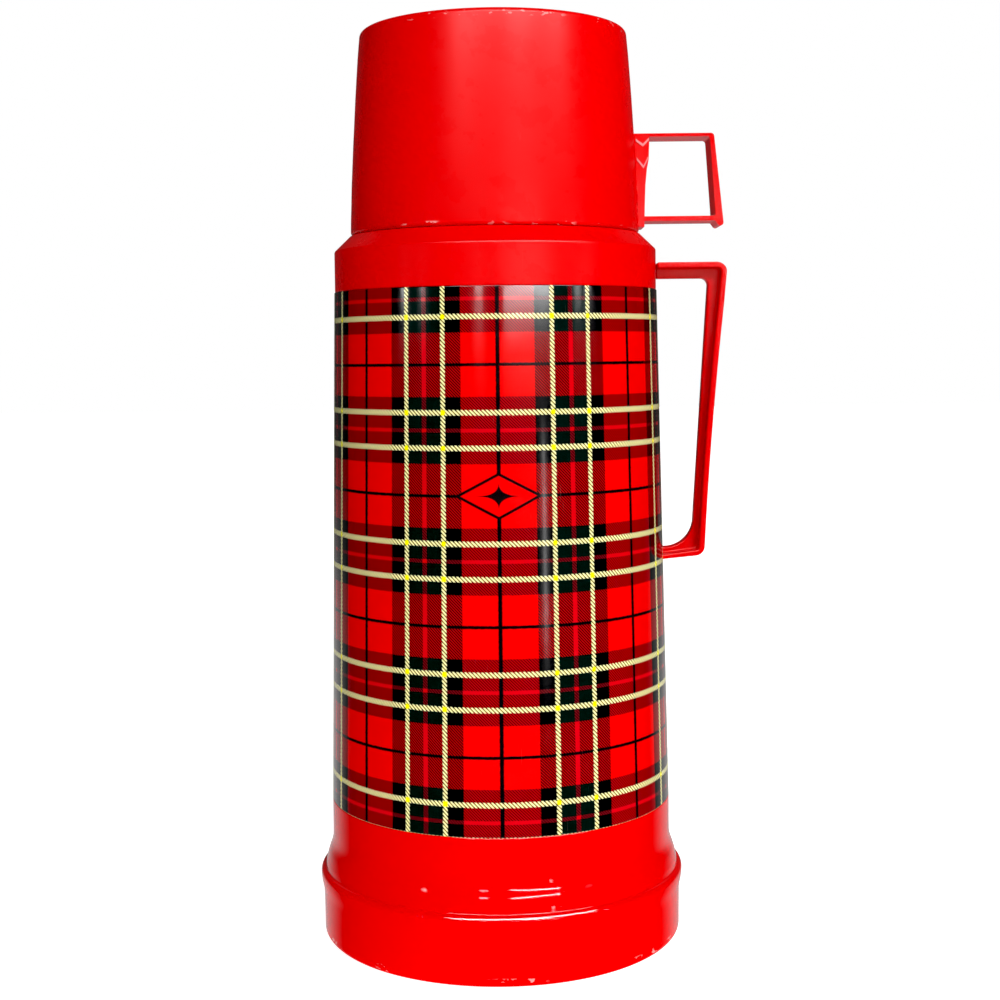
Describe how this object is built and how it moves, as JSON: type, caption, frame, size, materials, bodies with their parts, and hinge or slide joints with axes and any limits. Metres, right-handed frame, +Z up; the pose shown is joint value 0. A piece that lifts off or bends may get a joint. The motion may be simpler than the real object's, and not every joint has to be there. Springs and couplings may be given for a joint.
{
  "type": "vacuum flask",
  "caption": "Tall round vacuum flask: printed tapering sleeve on a wider moulded base, screw-on cup with a square side handle over a screw stopper, and a long side handle.",
  "frame": {"origin": "centre of the underside, on the flask's axis, where it stands", "axes": "+Z up along the flask's axis; both handles point along +X; the front of the picture is -Y"},
  "size_m": [0.1562, 0.1386, 0.34],
  "materials": {
    "red_plastic": "glossy bright red moulding",
    "handle_plastic": "glossy bright red moulding",
    "tartan_print": "glossy printed red tartan with yellow, black and green lines",
    "pale_plastic": "satin off-white moulding",
    "grey_rubber": "matt",
    "pale_foam": "matt foam",
    "silvered_glass": "clear glass silvered on the vacuum side",
    "steel": "plain zinc-plated steel"
  },
  "bodies": {
    "flask": {"base_cup": "red_plastic", "base_cushion": "grey_rubber", "tip_cap": "grey_rubber", "tartan_sleeve": "tartan_print", "lower_ring": "pale_foam", "upper_ring": "pale_foam", "outer_glass": "silvered_glass", "inner_glass": "silvered_glass", "glass_pads": "pale_foam", "shoulder": "red_plastic", "mouth_gasket": "grey_rubber", "pouring_ring": "pale_plastic", "body_handle": "handle_plastic", "handle_screws": "steel", "handle_plate": "steel"},
    "cup_ring": {"cup_seal": "grey_rubber"},
    "cup": {"cup": "red_plastic", "cup_handle": "handle_plastic"},
    "stopper_ring": {"stopper_seal": "grey_rubber"},
    "stopper": {"stopper_body": "red_plastic", "stopper_cap": "red_plastic", "stopper_core": "pale_foam"}
  },
  "joints": [
    {"name": "cup_lift", "type": "slide", "parent": "flask", "child": "cup_ring", "axis": [0, 0, 1], "range_m": [0, 0.09001]},
    {"name": "cup_turn", "type": "hinge", "parent": "cup_ring", "child": "cup", "pos_m": [0, 0, 0.3], "axis": [0, 0, 1], "range_deg": [0, 2160]},
    {"name": "stopper_lift", "type": "slide", "parent": "flask", "child": "stopper_ring", "axis": [0, 0, 1], "range_m": [0, 0.03041]},
    {"name": "stopper_turn", "type": "hinge", "parent": "stopper_ring", "child": "stopper", "pos_m": [0, 0, 0.28], "axis": [0, 0, 1], "range_deg": [0, 1368]}
  ],
  "couplings": [
    {"joint": "cup_lift", "follows": "cup_turn", "m_per_rad": 0.0023873},
    {"joint": "stopper_lift", "follows": "stopper_turn", "m_per_rad": 0.0012732}
  ]
}
